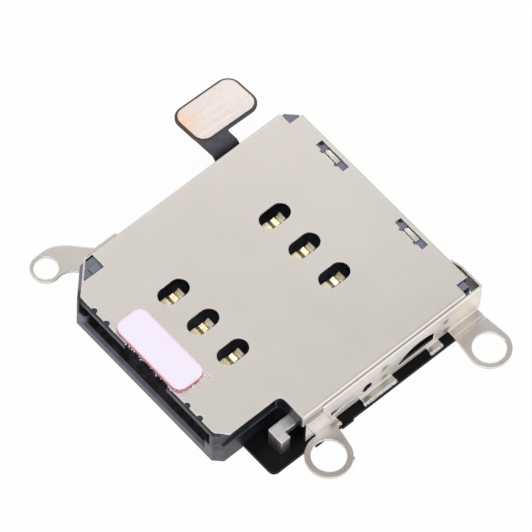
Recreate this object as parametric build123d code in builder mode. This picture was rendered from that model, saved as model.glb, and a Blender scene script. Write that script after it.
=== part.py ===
from build123d import *
from math import radians, tan
import os

# SIM card reader on its flex circuit, in millimetres.
# +X runs across the mouth, +Y is the way the card tray goes in, +Z is up.
# The origin is under the middle of the six card contacts, on the underside.

# Card contacts: the pattern that every SIM card has
pitch_x = 2.54
pitch_y = 7.62
columns = 3
rows = 2
contact_w = 0.54
contact_t = 0.12
arm_z = 2.20
dip_z = 2.04
crest_z = 2.14
tail_z = 2.02
tip_z = 2.22
crest_y = (-0.40, -0.10, 0.18, 0.38, 0.64)
leg_back = 3.10
leg_to_ramp = 0.70
contact_bend = 0.10
window_w = 0.90
window_ahead = 1.05

# Heights of the stack, from the underside up
stiffener_t = 0.15
flex_t = 0.10
floor_z = 0.80
ledge_z = 1.50
seam_z = 1.77
lip_h = 0.48
reader_h = 2.90
cover_t = 0.12

# Plan of the two mouldings
channel_w = 10.04
ledge_w = 0.58
left_wall_w = 2.31
nose_wall_w = 1.34
pocket_w = 1.82
channel_end = 7.15
lead_r = 0.35
front_side = 8.22
back_side = 9.36
pocket_y = -3.64
left_cut = 1.57
nose_cut = 0.50
corner_cut = 0.60
back_cut = 0.30
pocket_r = 0.35
lip_bevel = 0.18
frame_back = 8.35
frame_inset = 0.15
frame_ease = 0.08
bridge_front = 8.10
bridge_d = 0.62
bridge_gap = 3.60
toe_d = 0.60
toe_side = 0.42
toe_z = 0.02
fit_gap = 0.04
corner_pad = (0.45, 0.62, 0.09)
corner_pad_y = -6.20
post_w = 0.46
post_drop = 0.45

# Board: a black stiffener with the flex circuit on it
board_inset = 0.15
board_front_cut = 0.70
board_ahead = 0.88
board_back = 9.20
board_pocket_y = -6.28
board_step = 0.16
board_step_y = -3.20
board_r = 0.42
nib_y = -0.88
nib_w = 0.84
nib_d = 0.10

# Ejector rod, in its groove on the right, and its L-shaped head in the pocket
rod_in = 1.08
rod_w = 0.72
rod_t = 0.52
rod_gap = 0.05
head_front = -5.17
head_l = 0.68
head_w = 1.15
head_z = 0.30
head_r = 0.10
rod_end_ease = 0.25
rod_travel = 1.20

# Ejector lever behind the card, on its pin
pivot_x = 4.20
pivot_y = 7.95
short_drop = 0.60
nose_r = 0.35
hub_r = 0.62
long_arm = 4.60
long_drop = 0.40
tip_r = 0.35
pin_r = 0.40
pin_head_r = 0.75
pin_head_t = 0.20
pin_depth = 0.50
running_gap = 0.04
push_gap = 0.04
bay_left = -1.20
bay_wall = 0.25
bay_room = 0.15

# Card detect switch, two thin strips in the back left corner of the base
detect_t = 0.12
detect_h = 0.60
detect_z = 0.95
detect_left = -4.70
detect_right = -1.70
detect_leg = 0.45
detect_bow = 6.95

# Cover: one folded sheet with its holes and windows
cover_gap = 0.02
cover_front = 8.03
cover_cut = 1.77
cover_nose_cut = 0.62
bend_r = 0.18
flange_d = 1.00
hole_l = 2.05
hole_w = 1.20
notch_r = 0.20
notch_spots = (-4.52, -3.45, 3.45, 4.52)
notch_d = 1.00
latch_spots = (-3.38, 3.36)
latch_w = 2.34
latch_d = 0.46
latch_y = 8.94
bump_r = 0.14
hook_w = 1.04
hook_y = (8.84, 9.02)
corner_win_w = 1.16
corner_win_y = (-7.18, -5.73)
corner_strip = 0.12
rear_notch = (0.92, 1.00)
rear_window = (0.82, 0.87)

# Brackets: folded steel sheet with the three screw ears
sheet_t = 0.16
sheet_bend = 0.14
wall_drop = 0.20
wall_foot = 0.40
wall_edge = 0.08
front_ear_r = 1.03
front_ear_rim = 0.37
front_ear_out = 1.65
front_ear_y = -3.15
front_web = (-2.85, -1.50)
rear_ear_r = 1.00
rear_ear_rim = 0.32
rear_ear_out = 2.36
rear_ear_y = 8.38
rear_web = (7.28, 9.55)
rear_web_out = 0.85
bead_out = (0.50, 0.70)
bead_d = 0.05
ear_nib = (1.00, 0.93)
ear_nib_r = 0.12
strut_top = 2.20
strut_front = (-3.52, -2.85)
strut_back = (-2.24, -1.50)
strut_proud = 0.05
wrap_out = 0.41
wrap_r = 0.12
wrap_end = (7.30, 6.70, 6.00)
wrap_end_r = 0.50
wrap_foot = 1.14
foot_out = 0.50
feet = ((-1.42, 0.40), (1.78, 2.40), (6.05, 0.90))
slit_z = 1.12
slit_h = 0.08
slit_y = (-1.62, 1.12)
slit_mouth = 0.50
slit_end_r = 0.36
slot_y = (3.48, 6.15)
slot_z = (0.80, 1.05, 1.80, 1.55)
weld_spots = ((2.40, 1.80), (2.45, 0.80))
weld_r = 0.22
weld_d = 0.03
left_ear_out = 1.88
left_ear_y = -7.36
left_hole_r = 0.73
left_rim = 0.21
left_drop = 0.15
left_wall = (-6.10, -3.75)
arm_outside = ((2.60, -5.96), (2.02, -5.26), (0.90, -4.22))
arm_inside = (0.79, -6.40)

# Connector head, lifted and slightly tilted on its flex neck
plate_out = 2.26
plate_y = 6.57
plate_z = 1.15
rise_deg = 6.56
fall_deg = 2.60
plate_w = 2.65
plate_l = 4.32
plate_t = 0.10
plate_r = 0.70
pad_rim = 0.17
neck_y = 5.19
neck_w = 1.85
neck_lead = 0.22
neck_climb = 1.05
neck_fillet = 0.20
neck_steps = 10
plug_w = 1.90
plug_l = 3.50
plug_h = 0.72
plug_wall = 0.42
plug_end = 0.50
plug_roof = 0.22
island_w = 0.40
pins = 5
pin_pitch = 0.50
pin_w = 0.20
pin_t = 0.08
pin_tail = 0.22
pin_short = 0.12
nail_w = 0.90
nail_t = 0.10
nail_h = 0.45

# Adhesive pad over the mouth, and its release liner
tape_w = 5.65
tape_d = 2.10
tape_x = -0.12
tape_y = -6.95
tape_r = 0.60
tape_t = 0.10
liner_t = 0.05
liner_shift = 0.07

# Places that several pieces share
rim_w = channel_w + 2 * ledge_w
left_side = channel_w / 2 + left_wall_w
nose_side = channel_w / 2 + nose_wall_w
right_side = nose_side + pocket_w
board_left = left_side - board_inset
board_right = right_side + board_ahead
neck_foot = board_left + neck_lead
neck_level = neck_foot + neck_climb
head_at = (-neck_level - plate_out, plate_y, plate_z)
rod_x = nose_side + rod_in
board_top = stiffener_t + flex_t
flex_mid = stiffener_t + flex_t / 2
frame_top = reader_h - cover_t
roof_z = frame_top - lip_h
hook_z = (frame_top - 0.38, frame_top + 0.06)
cover_out = cover_gap + cover_t
groove_z = seam_z - rod_t - 2 * rod_gap
rod_low = groove_z + rod_gap
rod_top = rod_low + rod_t
rod_left = rod_x - rod_w / 2
rod_right = rod_x + rod_w / 2
nose_y = pivot_y - short_drop
rod_end = nose_y - nose_r - push_gap
relief_y = head_front + head_l + rod_travel + 2 * rod_gap
bay_back = back_side - bay_wall
lever_low = rod_low + running_gap / 2
lever_top = rod_top - running_gap / 2
pin_head_z = lever_top + running_gap
wall_x = right_side + cover_out + sheet_t / 2
wall_top = reader_h - wall_drop
front_ear = (wall_x + front_ear_out, front_ear_y)
rear_ear = (wall_x + rear_ear_out, rear_ear_y)
wrap_y = back_side + wrap_out
foot_z = board_top + sheet_t / 2
left_wall_x = -left_side - cover_out - sheet_t / 2
left_ear = (left_wall_x - left_ear_out, left_ear_y)
contact_x = [(i - (columns - 1) / 2) * pitch_x for i in range(columns)]
contact_y = [(j - (rows - 1) / 2) * pitch_y for j in range(rows)]
contact_spots = [(x, y) for y in contact_y for x in contact_x]

os.makedirs("parts", exist_ok=True)


def save(built, name):
    """Label a finished piece and write it to its own file."""
    built.part.label = name
    export_step(built.part, f"parts/{name}.step")


def slab(x0, x1, y0, y1, mode=Mode.ADD):
    """Rectangle between two corners."""
    with Locations(((x0 + x1) / 2, (y0 + y1) / 2)):
        Rectangle(x1 - x0, y1 - y0, mode=mode)


def strip(points, thickness, radius):
    """Section of a bent sheet whose middle runs through the points."""
    with BuildLine() as middle:
        FilletPolyline(*points, radius=radius)
    trace(middle.line, line_width=thickness)


def plan(left, nose, right, front, back, cut_left, cut_nose, cut_back):
    """Outline of the reader in plan, with the ejector pocket at its front right."""
    with BuildSketch() as outline:
        with BuildLine():
            Polyline(
                (-left, -front + cut_left),
                (-left + cut_left, -front),
                (nose - cut_nose, -front),
                (nose, -front + cut_nose),
                (nose, pocket_y),
                (right, pocket_y),
                (right, back - back_cut),
                (right - back_cut, back),
                (-left + cut_back, back),
                (-left, back - cut_back),
                close=True,
            )
        make_face()
        fillet(outline.vertices().sort_by_distance((nose, pocket_y))[0], pocket_r)
    return outline.sketch


body = plan(left_side, nose_side, right_side, front_side, back_side, left_cut, nose_cut, corner_cut)

# Base moulding: floor with the contact windows, channel, rod groove and lever bay
with BuildPart() as base_housing:
    with BuildSketch(Plane.XY.offset(board_top)):
        add(body)
    extrude(amount=seam_z - board_top)
    with BuildSketch(Plane.XY.offset(toe_z)):
        slab(-left_side, nose_side, -front_side, -front_side + toe_d)
        slab(nose_side - toe_side, nose_side, -front_side, board_pocket_y - fit_gap)
        add(body, mode=Mode.INTERSECT)
    extrude(amount=board_top - toe_z)
    with BuildSketch(Plane.XY.offset(floor_z)):
        slab(-channel_w / 2, channel_w / 2, -front_side, channel_end)
    extrude(amount=seam_z - floor_z, mode=Mode.SUBTRACT)
    with BuildSketch(Plane.XY.offset(ledge_z)):
        slab(-rim_w / 2, rim_w / 2, -front_side, channel_end)
    extrude(amount=seam_z - ledge_z, mode=Mode.SUBTRACT)
    mouth = base_housing.edges().filter_by(Axis.Z).filter_by_position(
        Axis.X, -channel_w / 2, channel_w / 2
    )
    fillet(mouth.group_by(Axis.Y)[0], lead_r)
    lip = base_housing.edges().filter_by(Axis.X).group_by(Axis.Y)[0]
    chamfer(lip.filter_by_position(Axis.Z, floor_z - toe_z, floor_z + toe_z), lip_bevel)
    for x, y in contact_spots:
        with BuildSketch(Plane.XY.offset(board_top)):
            window_back = y - leg_back + leg_to_ramp - contact_t
            slab(x - window_w / 2, x + window_w / 2, window_back, y + window_ahead)
        extrude(amount=floor_z - board_top, mode=Mode.SUBTRACT)
        with BuildSketch(Plane.XY.offset(board_top)):
            slab(x - contact_w / 2, x + contact_w / 2, y - leg_back, y - leg_back + leg_to_ramp)
        extrude(amount=contact_t, mode=Mode.SUBTRACT)
    with BuildSketch(Plane.XY.offset(groove_z)):
        slab(rod_left - rod_gap, rod_right + rod_gap, pocket_y, nose_y)
        slab(bay_left, rod_right + bay_room, nose_y - nose_r - bay_room, bay_back)
    extrude(amount=seam_z - groove_z, mode=Mode.SUBTRACT)
    with BuildSketch(Plane.XY.offset(board_top)):
        slab(rod_left - rod_gap, right_side, pocket_y, relief_y)
    extrude(amount=seam_z - board_top, mode=Mode.SUBTRACT)
    with BuildSketch(Plane.XY.offset(detect_z)):
        slab(detect_left - bay_wall, detect_right + bay_wall, channel_end, bay_back)
    extrude(amount=seam_z - detect_z, mode=Mode.SUBTRACT)
    for x in (detect_left, detect_right):
        with BuildSketch(Plane.XY.offset(board_top)):
            slab(x - detect_t / 2, x + detect_t / 2, bay_back - detect_leg, bay_back)
        extrude(amount=detect_z - board_top, mode=Mode.SUBTRACT)
    with BuildSketch(Plane.XY.offset(groove_z - pin_depth)):
        with Locations((pivot_x, pivot_y)):
            Circle(pin_r)
    extrude(amount=pin_depth, mode=Mode.SUBTRACT)
save(base_housing, "base_housing")

# Upper frame: rails around the open middle, lip bar over the mouth, latch blocks
with BuildPart() as upper_frame:
    with BuildSketch(Plane.XY.offset(seam_z)):
        add(body)
        slab(nose_side - frame_inset, nose_side, -front_side, pocket_y, mode=Mode.SUBTRACT)
        slab(-rim_w / 2, rim_w / 2, -front_side, frame_back, mode=Mode.SUBTRACT)
    extrude(amount=frame_top - seam_z)
    shoulder = upper_frame.faces().sort_by(Axis.Z)[-1].outer_wire().edges()
    shoulder = shoulder.filter_by_position(Axis.Y, pocket_y + pocket_r, back_side)
    inside = shoulder.filter_by_position(Axis.X, -rim_w / 2, rim_w / 2)
    inside = inside.filter_by_position(Axis.Y, pocket_y, frame_back)
    chamfer([e for e in shoulder if e not in inside], frame_ease)
    with BuildSketch(Plane.XY.offset(roof_z)):
        slab(-rim_w / 2, -bridge_gap / 2, -bridge_front, -bridge_front + bridge_d)
        slab(bridge_gap / 2, rim_w / 2, -bridge_front, -bridge_front + bridge_d)
    extrude(amount=frame_top - roof_z)
    brow = upper_frame.edges().filter_by(Axis.X).filter_by_position(
        Axis.Y, -bridge_front - fit_gap, -bridge_front + fit_gap
    )
    chamfer(brow.group_by(Axis.Z)[-1], lip_bevel)
    with BuildSketch(Plane.XY.offset(seam_z)):
        with Locations((pivot_x, pivot_y)):
            Circle(pin_head_r + bay_room)
    extrude(amount=pin_head_z + pin_head_t + running_gap - seam_z, mode=Mode.SUBTRACT)
    with BuildSketch(Plane.XY.offset(hook_z[0] - fit_gap)):
        for x in latch_spots:
            slab(x - hook_w / 2 - fit_gap, x + hook_w / 2 + fit_gap, hook_y[0] - fit_gap, back_side)
    extrude(amount=frame_top - hook_z[0] + fit_gap, mode=Mode.SUBTRACT)
    with BuildSketch(Plane.XY.offset(frame_top - post_drop)):
        slab(right_side - rear_window[0], right_side, back_side - rear_window[1], back_side)
        with Locations((right_side - rear_window[0] / 2, back_side - rear_window[1] / 2)):
            Rectangle(post_w, post_w, mode=Mode.SUBTRACT)
    extrude(amount=post_drop, mode=Mode.SUBTRACT)
    with BuildSketch(Plane.XY.offset(frame_top)):
        with Locations((-left_side - cover_out + corner_win_w - corner_pad[0] / 2 - fit_gap, corner_pad_y)):
            Rectangle(corner_pad[0], corner_pad[1])
    extrude(amount=corner_pad[2])
save(upper_frame, "upper_frame")

# Cover: flat top with short flanges folded down on the left, back and right
with BuildPart() as cover_shield:
    with BuildSketch(Plane.XY.offset(reader_h - flange_d)):
        add(
            plan(
                left_side + cover_out,
                nose_side + cover_gap,
                right_side + cover_out,
                cover_front,
                back_side + cover_out,
                cover_cut,
                cover_nose_cut,
                back_cut,
            )
        )
    extrude(amount=flange_d)
    rim = cover_shield.faces().sort_by(Axis.Z)[-1].edges()
    open_rim = rim.filter_by_position(Axis.Y, -cover_front, pocket_y + pocket_r)
    fillet([e for e in rim if e not in open_rim], bend_r)
    sides = cover_shield.faces().filter_by_position(Axis.Y, -cover_front, pocket_y + pocket_r)
    offset(amount=-cover_t, openings=[cover_shield.faces().sort_by(Axis.Z)[0], *sides])
    with BuildSketch(Plane.XY.offset(frame_top)):
        with Locations(*contact_spots):
            SlotOverall(hole_l, hole_w, rotation=90)
        for x in notch_spots:
            with Locations((x, -cover_front)):
                Circle(notch_r)
        slab(-bridge_gap / 2, bridge_gap / 2, -cover_front, -cover_front + notch_d)
    extrude(amount=cover_t, mode=Mode.SUBTRACT)
    with BuildSketch(Plane.XY.offset(frame_top)):
        for x in latch_spots:
            with Locations((x, latch_y)):
                Rectangle(latch_w, latch_d)
            with Locations([(x + side * latch_w / 4, latch_y - latch_d / 2) for side in (-1, 1)]):
                Circle(bump_r)
    extrude(amount=cover_t, mode=Mode.SUBTRACT)
    for x in latch_spots:
        with BuildSketch(Plane.YZ.offset(x - hook_w / 2)):
            slab(hook_y[0], back_side + cover_out - cover_t / 2, hook_z[0], hook_z[0] + cover_t)
            slab(hook_y[0], hook_y[1], hook_z[0], hook_z[1])
        extrude(amount=hook_w)
    left_edge = -left_side - cover_out
    strip_sum = left_edge - cover_front + cover_cut + corner_strip * 2**0.5
    with BuildSketch(Plane.XY.offset(reader_h - flange_d)):
        with BuildLine():
            Polyline(
                (left_edge + corner_strip, corner_win_y[1]),
                (left_edge + corner_strip, strip_sum - left_edge - corner_strip),
                (strip_sum - corner_win_y[0], corner_win_y[0]),
                (left_edge + corner_win_w, corner_win_y[0]),
                (left_edge + corner_win_w, corner_win_y[1]),
                close=True,
            )
        make_face()
        slab(
            left_edge,
            left_edge + rear_notch[0],
            back_side + cover_out - rear_notch[1],
            back_side + cover_out,
        )
        slab(
            right_side + cover_out - rear_window[0],
            right_side + cover_out,
            back_side + cover_out - rear_window[1],
            back_side + cover_out,
        )
    extrude(amount=flange_d, mode=Mode.SUBTRACT)
save(cover_shield, "cover_shield")

# Side bracket: one folded sheet, lapped over the right flange, with two screw ears
with BuildPart() as side_bracket:
    outer_x = wall_x + sheet_t / 2
    wall_end = back_side + cover_out + sheet_t / 2
    with BuildSketch(Plane.XY.offset(wall_foot)):
        strip([(wall_x, strut_front[0]), (wall_x, wrap_y), (wrap_end[0], wrap_y)], sheet_t, wrap_r)
        strip(
            [(wrap_end[0] + wrap_end_r, wrap_y), (wrap_end[1], wrap_y), (wrap_end[2], wall_end)],
            sheet_t,
            wrap_end_r,
        )
    extrude(amount=wall_top - wall_foot)
    rim = side_bracket.faces().sort_by(Axis.Z)[-1].edges().filter_by(Axis.Y)
    chamfer(rim.sort_by(Axis.X)[-1], wall_edge)
    with BuildSketch(Plane.XY.offset(wall_foot)):
        slab(wrap_end[2] - sheet_t, wall_x - sheet_t, back_side, wrap_y + sheet_t)
    extrude(amount=wrap_foot - wall_foot, mode=Mode.SUBTRACT)
    with BuildSketch(Plane.YZ.offset(wall_x - sheet_t)):
        with BuildLine():
            Polyline(
                (rear_web[1], wall_foot),
                (wrap_y + sheet_t, wall_foot),
                (wrap_y + sheet_t, wrap_foot),
                (wrap_y + sheet_t / 2, wrap_foot),
                close=True,
            )
        make_face()
        slab(strut_front[0], strut_back[0], strut_top, wall_top)
    extrude(amount=2 * sheet_t, mode=Mode.SUBTRACT)
    with BuildSketch(Plane.YZ.offset(outer_x)):
        with BuildLine():
            Polyline(
                (strut_front[0], strut_top),
                (strut_back[0], strut_top),
                (strut_back[1], wall_foot),
                (strut_front[1], wall_foot),
                close=True,
            )
        make_face()
    extrude(amount=strut_proud)
    with BuildSketch(Plane.YZ.offset(wall_x - sheet_t / 2)):
        slab(strut_front[0], strut_front[1] + sheet_t, board_top, wall_foot)
    extrude(amount=sheet_t)
    for web, ear in ((front_web, front_ear), (rear_web, rear_ear)):
        with BuildSketch(Plane.XZ.offset(-web[1])):
            strip(
                [(wall_x, wall_foot + sheet_t), (wall_x, foot_z), (ear[0] - front_ear_r, foot_z)],
                sheet_t,
                sheet_bend,
            )
        extrude(amount=web[1] - web[0])
    with BuildSketch(Plane.XY.offset(board_top)):
        with Locations(front_ear):
            Circle(front_ear_r + front_ear_rim)
        slab(outer_x + sheet_bend, outer_x + 2 * sheet_bend, *front_web)
        make_hull()
    extrude(amount=sheet_t)
    with BuildSketch(Plane.XY.offset(board_top)):
        with Locations(rear_ear):
            Circle(rear_ear_r + rear_ear_rim)
        slab(outer_x + rear_web_out - sheet_bend, outer_x + rear_web_out, *rear_web)
        make_hull()
    extrude(amount=sheet_t)
    with BuildSketch(Plane.XY.offset(board_top)):
        with Locations((front_ear[0] + ear_nib[0], front_ear[1] + ear_nib[1])):
            Circle(ear_nib_r)
    extrude(amount=sheet_t)
    with BuildSketch(Plane.XY.offset(board_top)):
        with Locations(front_ear):
            Circle(front_ear_r)
        with Locations(rear_ear):
            Circle(rear_ear_r)
    extrude(amount=sheet_t, mode=Mode.SUBTRACT)
    with BuildSketch(Plane.XY.offset(board_top + sheet_t - bead_d)):
        slab(outer_x + bead_out[0], outer_x + bead_out[1], *rear_web)
    extrude(amount=bead_d, mode=Mode.SUBTRACT)
    for y, width in feet:
        with BuildSketch(Plane.XZ.offset(-y - width / 2)):
            strip(
                [(wall_x, wall_foot + sheet_t), (wall_x, foot_z), (wall_x + foot_out, foot_z)],
                sheet_t,
                sheet_bend,
            )
        extrude(amount=width)
    with BuildSketch(Plane.YZ.offset(wall_x)):
        slab(slit_y[0], slit_y[1], slit_z - slit_h / 2, slit_z + slit_h / 2)
        with Locations((slit_y[1], slit_z)):
            Circle(slit_end_r)
        with BuildLine():
            Polyline(
                (slit_y[0], slit_z + slit_mouth / 2),
                (slit_y[0], slit_z - slit_mouth / 2),
                (slit_y[0] + 2 * slit_mouth, slit_z),
                close=True,
            )
        make_face()
        with BuildLine():
            Polyline(
                (slot_y[1], slot_z[3]),
                (slot_y[1], slot_z[0]),
                (slot_y[0], slot_z[0]),
                (slot_y[0], slot_z[1]),
            )
            ThreePointArc(
                (slot_y[0], slot_z[1]),
                (sum(slot_y) / 2, slot_z[2]),
                (slot_y[1], slot_z[3]),
            )
        make_face()
    extrude(amount=sheet_t, both=True, mode=Mode.SUBTRACT)
    with BuildSketch(Plane.YZ.offset(wall_x + sheet_t / 2 - weld_d)):
        with Locations(*weld_spots):
            Circle(weld_r)
    extrude(amount=weld_d, taper=-45, mode=Mode.SUBTRACT)
save(side_bracket, "side_bracket")

# Left bracket: a small folded sheet whose curved arm carries the third ear
with BuildPart() as left_bracket:
    with BuildSketch(Plane.XZ.offset(-left_wall[1])):
        strip(
            [(left_wall_x, reader_h - left_drop), (left_wall_x, foot_z), (left_wall_x - foot_out, foot_z)],
            sheet_t,
            sheet_bend,
        )
    extrude(amount=left_wall[1] - left_wall[0])
    with BuildSketch(Plane.XY.offset(board_top)):
        ear_r = left_hole_r + left_rim
        swell, bend, root = [(left_wall_x - out, y) for out, y in arm_outside]
        with BuildLine():
            Polyline((left_ear[0] - ear_r, left_ear[1]), (left_ear[0] - ear_r, left_ear[1] + left_hole_r))
            ThreePointArc((left_ear[0] - ear_r, left_ear[1] + left_hole_r), swell, bend)
            Polyline(
                bend,
                root,
                (left_wall_x - foot_out, left_wall[1]),
                (left_wall_x - foot_out / 2, left_wall[1]),
                (left_wall_x - foot_out / 2, left_wall[0]),
                (left_wall_x - foot_out, left_wall[0]),
            )
            ThreePointArc(
                (left_wall_x - foot_out, left_wall[0]),
                (left_wall_x - arm_inside[0], arm_inside[1]),
                (left_ear[0] + ear_r, left_ear[1]),
            )
            Line((left_ear[0] + ear_r, left_ear[1]), (left_ear[0] - ear_r, left_ear[1]))
        make_face()
        with Locations(left_ear):
            Circle(ear_r)
            Circle(left_hole_r, mode=Mode.SUBTRACT)
    extrude(amount=sheet_t)
save(left_bracket, "left_bracket")

# Ejector rod: a flat strip with its push head, which slides along +Y
with BuildPart() as eject_rod:
    with BuildSketch(Plane.XY.offset(rod_low)):
        slab(rod_left, rod_right, head_front, rod_end)
    extrude(amount=rod_t)
    with BuildSketch(Plane.XY.offset(head_z)):
        slab(rod_left, rod_left + head_w, head_front, head_front + head_l)
    extrude(amount=rod_top - head_z)
    fillet(eject_rod.edges().filter_by(Axis.Z).group_by(Axis.Y)[0], head_r)
    chamfer(eject_rod.edges().filter_by(Axis.Z).group_by(Axis.Y)[-1], rod_end_ease)
save(eject_rod, "eject_rod")

# Ejector lever: the rod pushes its nose, and its long arm pushes the tray out
with BuildPart() as eject_lever:
    with BuildSketch(Plane.XY.offset(lever_low)):
        with Locations((rod_x, nose_y)):
            Circle(nose_r)
        with Locations((pivot_x, pivot_y)):
            Circle(hub_r)
        make_hull()
    extrude(amount=lever_top - lever_low)
    with BuildSketch(Plane.XY.offset(lever_low)):
        with Locations((pivot_x - long_arm, pivot_y - long_drop)):
            Circle(tip_r)
        with Locations((pivot_x, pivot_y)):
            Circle(hub_r)
        make_hull()
    extrude(amount=lever_top - lever_low)
    with BuildSketch(Plane.XY.offset(lever_low)):
        with Locations((pivot_x, pivot_y)):
            Circle(pin_r + running_gap)
    extrude(amount=lever_top - lever_low, mode=Mode.SUBTRACT)
save(eject_lever, "eject_lever")

# Lever pin: a headed stud pressed into the floor of the bay
with BuildPart() as lever_pin:
    with BuildSketch(Plane.XY.offset(groove_z - pin_depth)):
        with Locations((pivot_x, pivot_y)):
            Circle(pin_r)
    extrude(amount=pin_head_z - groove_z + pin_depth)
    with BuildSketch(Plane.XY.offset(pin_head_z)):
        with Locations((pivot_x, pivot_y)):
            Circle(pin_head_r)
    extrude(amount=pin_head_t)
    fillet(lever_pin.faces().sort_by(Axis.Z)[-1].edges(), pin_head_t / 3)
save(lever_pin, "lever_pin")

# Contact springs: a soldered foot, a ramp up through the window, and a waved tip
for i, (x, y) in enumerate(contact_spots):
    foot = board_top + contact_t / 2
    with BuildPart() as contact:
        with BuildSketch(Plane.YZ.offset(x - contact_w / 2)):
            strip(
                [
                    (y - leg_back, foot),
                    (y - leg_back + leg_to_ramp, foot),
                    (y - hole_l / 2 + contact_t, arm_z),
                    (y + crest_y[0], arm_z),
                    (y + crest_y[1], dip_z),
                    (y + crest_y[2], crest_z),
                    (y + crest_y[3], tail_z),
                    (y + crest_y[4], tip_z),
                ],
                contact_t,
                contact_bend,
            )
        extrude(amount=contact_w)
    save(contact, f"contact_{i + 1}")

# Detect switch: a bowed blade that the card pushes against a fixed terminal
blade_z = detect_z + running_gap
with BuildPart() as detect_blade:
    with BuildSketch(Plane.XY.offset(blade_z)):
        strip(
            [
                (detect_left, bay_back),
                (detect_left, bay_back - 2 * detect_leg),
                ((detect_left + detect_right) / 2, detect_bow),
                (detect_right - detect_leg, bay_back - 2 * detect_leg),
            ],
            detect_t,
            detect_t,
        )
    extrude(amount=detect_h)
    with BuildSketch(Plane.XY.offset(board_top)):
        slab(detect_left - detect_t / 2, detect_left + detect_t / 2, bay_back - detect_leg, bay_back)
    extrude(amount=detect_z + detect_h - board_top)
save(detect_blade, "detect_blade")

with BuildPart() as detect_terminal:
    with BuildSketch(Plane.XY.offset(blade_z)):
        strip(
            [
                (detect_right, bay_back),
                (detect_right, bay_back - detect_leg),
                (detect_right - detect_leg, bay_back - 2 * detect_leg + 2 * detect_t),
            ],
            detect_t,
            detect_t,
        )
    extrude(amount=detect_h)
    with BuildSketch(Plane.XY.offset(board_top)):
        slab(detect_right - detect_t / 2, detect_right + detect_t / 2, bay_back - detect_leg, bay_back)
    extrude(amount=detect_z + detect_h - board_top)
save(detect_terminal, "detect_terminal")

# Board outline, shared by the stiffener and the flex circuit on top of it
board_front = front_side - toe_d - fit_gap
board_nose = nose_side - toe_side - fit_gap
with BuildSketch() as board:
    with BuildLine():
        Polyline(
            (-board_left, -board_front + board_front_cut),
            (-board_left + board_front_cut, -board_front),
            (board_nose, -board_front),
            (board_nose, board_pocket_y),
            (board_right - board_step, board_pocket_y),
            (board_right - board_step, board_step_y),
            (board_right, board_step_y),
            (board_right, board_back),
            (-board_left, board_back),
            close=True,
        )
    make_face()
    right_corners = board.vertices().filter_by_position(Axis.X, board_nose + board_r, board_right)
    fillet(right_corners.sort_by(Axis.Y)[0:1] + right_corners.sort_by(Axis.Y)[-1:], board_r)
    with Locations((board_right, nib_y)):
        Rectangle(2 * nib_d, nib_w)

with BuildPart() as board_stiffener:
    add(board.sketch)
    extrude(amount=stiffener_t)
save(board_stiffener, "board_stiffener")

# Flex circuit: the board area, the neck that climbs out, and the connector pad
rise_x = tan(radians(rise_deg))
fall_y = tan(radians(fall_deg))
head = Plane(origin=head_at, x_dir=(1, 0, rise_x), z_dir=(-rise_x, fall_y, 1))


def head_side(y):
    """Plane across the connector head, at a distance along it."""
    return Plane(head.location * Plane.XZ.offset(-y).location)


def neck_plane(x):
    """Plane across the neck at x: level at the board, tilted like the head at its end."""
    span = neck_level - neck_foot
    part_way = min(max((-neck_foot - x) / span, 0), 1)
    blend = part_way**2 * (3 - 2 * part_way)
    head_z_here = head_at[2] + rise_x * (x - head_at[0]) - fall_y * (neck_y - head_at[1])
    lift = head_z_here - flex_mid
    slope = blend * rise_x - 6 * part_way * (1 - part_way) / span * lift
    return Plane(
        origin=(x, neck_y, flex_mid + blend * lift),
        x_dir=(0, 1, -blend * fall_y),
        z_dir=(-1, 0, -slope),
    )


pad_w = plate_w + 2 * pad_rim
pad_l = plate_l + 2 * pad_rim
neck_local = neck_y - head_at[1]
with BuildSketch() as pad:
    RectangleRounded(pad_w, pad_l, plate_r + pad_rim)
    slab(0, pad_w / 2 + 2 * neck_fillet, neck_local - neck_w / 2, neck_local + neck_w / 2)
    fillet(pad.vertices().sort_by_distance((pad_w / 2, neck_local + neck_w / 2))[0], neck_fillet)

with BuildPart() as flex_circuit:
    with BuildSketch(Plane.XY.offset(stiffener_t)):
        add(board.sketch)
    extrude(amount=flex_t)
    climb = [neck_foot + (neck_level - neck_foot) * k / neck_steps for k in range(neck_steps + 1)]
    for x in (board_left - pad_rim, *climb, -head_at[0] - pad_w / 2 + pad_rim):
        with BuildSketch(neck_plane(-x)):
            Rectangle(neck_w, flex_t)
    loft(ruled=True)
    with BuildSketch(head.offset(-flex_t / 2)):
        add(pad.sketch)
    extrude(amount=flex_t)
save(flex_circuit, "flex_circuit")

with BuildPart() as connector_stiffener:
    with BuildSketch(head.offset(flex_t / 2)):
        RectangleRounded(plate_w, plate_l, plate_r)
    extrude(amount=plate_t)
save(connector_stiffener, "connector_stiffener")

# Connector: solder pins and nails set into a moulded receptacle under the pad
pin_parts = []
for side in (-1, 1):
    for i in range(pins):
        along = (i - (pins - 1) / 2) * pin_pitch
        tail_z = -flex_t / 2 - pin_t / 2
        with BuildPart() as pin:
            with BuildSketch(head_side(along + pin_w / 2)):
                strip(
                    [
                        (side * (plug_w / 2 + pin_tail), tail_z),
                        (side * (plug_w / 2 - plug_wall - pin_t / 2), tail_z),
                        (side * (plug_w / 2 - plug_wall - pin_t / 2), -plug_h + pin_short),
                    ],
                    pin_t,
                    pin_t,
                )
            extrude(amount=pin_w)
        pin_parts.append(pin)

nail_parts = []
for end in (-1, 1):
    with BuildPart() as nail:
        with BuildSketch(Plane(head.location * Plane.YZ.offset(-nail_w / 2).location)):
            strip(
                [
                    (end * (plug_l / 2 + pin_tail), -flex_t / 2 - nail_t / 2),
                    (end * (plug_l / 2 - plug_end / 2), -flex_t / 2 - nail_t / 2),
                    (end * (plug_l / 2 - plug_end / 2), -flex_t / 2 - nail_h),
                ],
                nail_t,
                nail_t,
            )
        extrude(amount=nail_w)
    nail_parts.append(nail)

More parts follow.
